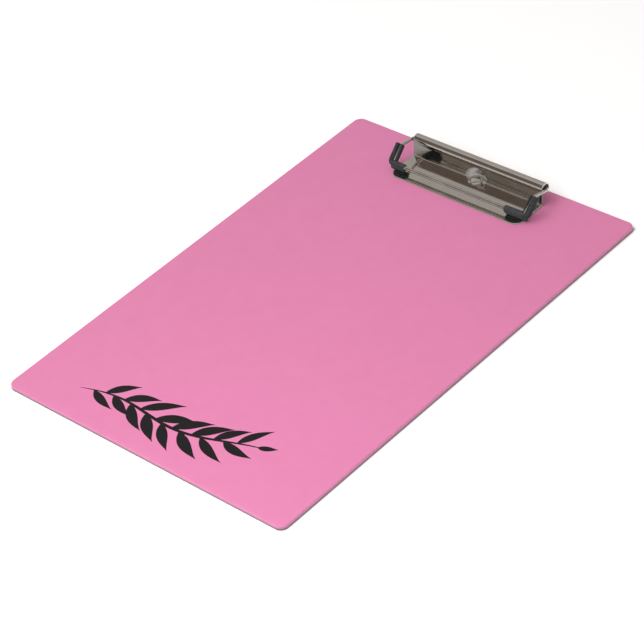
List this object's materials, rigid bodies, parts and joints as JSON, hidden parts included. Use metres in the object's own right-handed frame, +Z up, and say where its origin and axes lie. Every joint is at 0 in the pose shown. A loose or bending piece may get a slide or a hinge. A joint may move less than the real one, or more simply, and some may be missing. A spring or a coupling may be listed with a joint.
{
  "type": "clipboard",
  "caption": "Letter-size clipboard: rounded printed board with a low nickel-plated wire clip, black corner sleeves and a hanging eyelet.",
  "frame": {"origin": "middle of the board's underside", "axes": "+X across the board's width, +Y along its length towards the clip, +Z up out of the writing face"},
  "size_m": [0.2286, 0.3174, 0.0188],
  "materials": {
    "board_core": "satin",
    "print_film": "satin",
    "plated_steel": "polished nickel plate",
    "eyelet_steel": "polished nickel plate",
    "spring_wire": "polished nickel plate",
    "black_rubber": "semi-matte",
    "dark_nylon": "matte"
  },
  "bodies": {
    "board": {"board_core": "board_core", "front_print_film": "print_film", "clip_base_plate": "plated_steel", "hanging_eyelet": "eyelet_steel", "eyelet_back_washer": "eyelet_steel", "left_barrel_bush": "dark_nylon", "right_barrel_bush": "dark_nylon", "left_torsion_spring": "spring_wire", "right_torsion_spring": "spring_wire"},
    "bail": {"wire_bail": "spring_wire", "left_corner_sleeve": "black_rubber", "right_corner_sleeve": "black_rubber"}
  },
  "joints": [
    {"name": "bail_hinge", "type": "hinge", "parent": "board", "child": "bail", "pos_m": [0, 0.14885, 0.0136], "axis": [-1, 0, 0], "range_deg": [0, 85], "stiffness_Nm_per_rad": 0.2, "springref_deg": -68.75}
  ]
}
